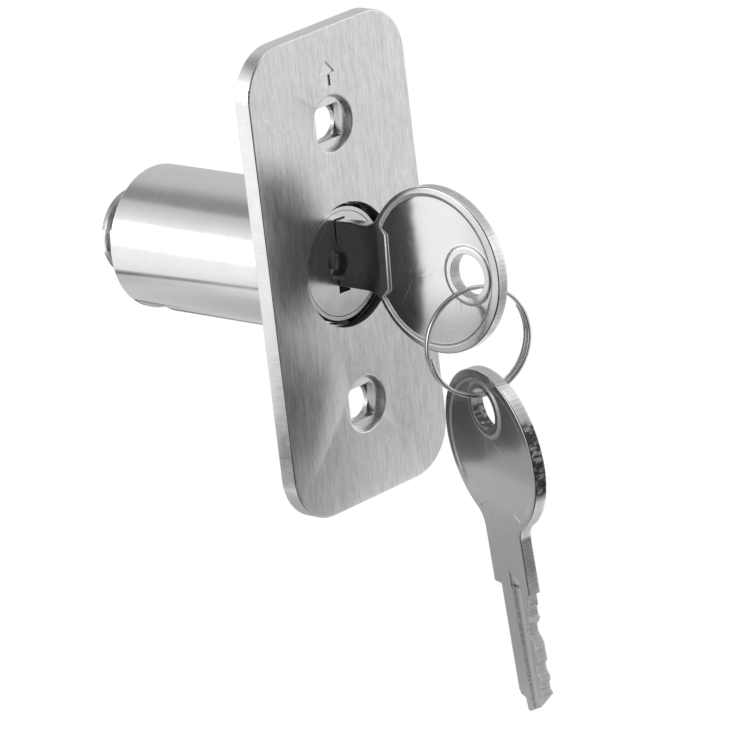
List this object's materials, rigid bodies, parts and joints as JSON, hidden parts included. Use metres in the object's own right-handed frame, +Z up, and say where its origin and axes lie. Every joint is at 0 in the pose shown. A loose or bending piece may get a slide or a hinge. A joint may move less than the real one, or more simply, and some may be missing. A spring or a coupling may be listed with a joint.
{
  "type": "garage door emergency release lock",
  "caption": "Key lock with a brushed mounting plate, a barrel behind it that holds a pull-out release cylinder, a key in the plug and a spare key hanging on a split ring.",
  "frame": {"origin": "centre of the plate's rear face, on the barrel's axis", "axes": "+Z up, -Y towards the key and the viewer, +Y along the barrel into the door, +X to the right seen from the front"},
  "size_m": [0.0356, 0.0857, 0.1091],
  "materials": {
    "plate_steel": "vertical brushed grain",
    "barrel_zinc": "bright plated, turned",
    "cylinder_zinc": "bright plated, polished face",
    "plug_zinc": "bright plated, polished face",
    "pin_steel": "ground",
    "clip_steel": "tumbled",
    "bolt_steel": "milled",
    "key_nickel": "satin nickel plate",
    "ring_steel": "bright wire",
    "wafer_brass": "stamped",
    "spring_steel": "drawn wire"
  },
  "bodies": {
    "mount": {"face_plate": "plate_steel", "barrel_tube": "barrel_zinc"},
    "cylinder": {"release_cylinder": "cylinder_zinc", "plug_retaining_pin": "pin_steel", "tail_clip": "clip_steel"},
    "plug": {"key_plug": "plug_zinc", "crank_pin": "pin_steel", "wafer_spring_1": "spring_steel", "wafer_spring_2": "spring_steel", "wafer_spring_3": "spring_steel", "wafer_spring_4": "spring_steel", "wafer_spring_5": "spring_steel"},
    "bolt": {"locking_bolt": "bolt_steel"},
    "key": {"lock_key": "key_nickel"},
    "ring": {"split_ring": "ring_steel"},
    "spare": {"spare_key": "key_nickel"},
    "wafer_1": {"wafer_1": "wafer_brass"},
    "wafer_2": {"wafer_2": "wafer_brass"},
    "wafer_3": {"wafer_3": "wafer_brass"},
    "wafer_4": {"wafer_4": "wafer_brass"},
    "wafer_5": {"wafer_5": "wafer_brass"}
  },
  "joints": [
    {"name": "release_pull", "type": "slide", "parent": "mount", "child": "cylinder", "axis": [0, -1, 0], "range_m": [0, 0.045]},
    {"name": "key_turn", "type": "hinge", "parent": "cylinder", "child": "plug", "pos_m": [0, 0, 0], "axis": [0, 1, 0], "range_deg": [0, 90]},
    {"name": "bolt_throw", "type": "slide", "parent": "cylinder", "child": "bolt", "axis": [-0.0523, 0, -0.9986], "range_m": [0, 0.00227]},
    {"name": "key_draw", "type": "slide", "parent": "plug", "child": "key", "axis": [0, -1, 0], "range_m": [0, 0.026]},
    {"name": "wafer_1_lift", "type": "slide", "parent": "plug", "child": "wafer_1", "axis": [0.0523, 0, 0.9986], "range_m": [0, 0.000605], "deforming": ["wafer_spring_1"]},
    {"name": "wafer_2_lift", "type": "slide", "parent": "plug", "child": "wafer_2", "axis": [0.0523, 0, 0.9986], "range_m": [0, 0.000605], "deforming": ["wafer_spring_2"]},
    {"name": "wafer_3_lift", "type": "slide", "parent": "plug", "child": "wafer_3", "axis": [0.0523, 0, 0.9986], "range_m": [0, 0.000605], "deforming": ["wafer_spring_3"]},
    {"name": "wafer_4_lift", "type": "slide", "parent": "plug", "child": "wafer_4", "axis": [0.0523, 0, 0.9986], "range_m": [0, 0.000605], "deforming": ["wafer_spring_4"]},
    {"name": "wafer_5_lift", "type": "slide", "parent": "plug", "child": "wafer_5", "axis": [0.0523, 0, 0.9986], "range_m": [0, 0.000605], "deforming": ["wafer_spring_5"]},
    {"name": "ring_swing", "type": "hinge", "parent": "key", "child": "ring", "pos_m": [0.00008, -0.02836, 0.00147], "axis": [-0.9986, 0, 0.0523], "range_deg": [-5, 70]},
    {"name": "spare_key_swing", "type": "hinge", "parent": "ring", "child": "spare", "pos_m": [0.00055, -0.02823, -0.02023], "axis": [-0.9463, 0.3185, -0.0558], "range_deg": [-15, 35]}
  ],
  "couplings": [
    {"joint": "bolt_throw", "follows": "key_turn", "m_per_rad": 0.0014405},
    {"joint": "wafer_1_lift", "follows": "key_draw", "ratio": 0.023077},
    {"joint": "wafer_2_lift", "follows": "key_draw", "ratio": 0.023077},
    {"joint": "wafer_3_lift", "follows": "key_draw", "ratio": 0.023077},
    {"joint": "wafer_4_lift", "follows": "key_draw", "ratio": 0.023077},
    {"joint": "wafer_5_lift", "follows": "key_draw", "ratio": 0.023077}
  ]
}
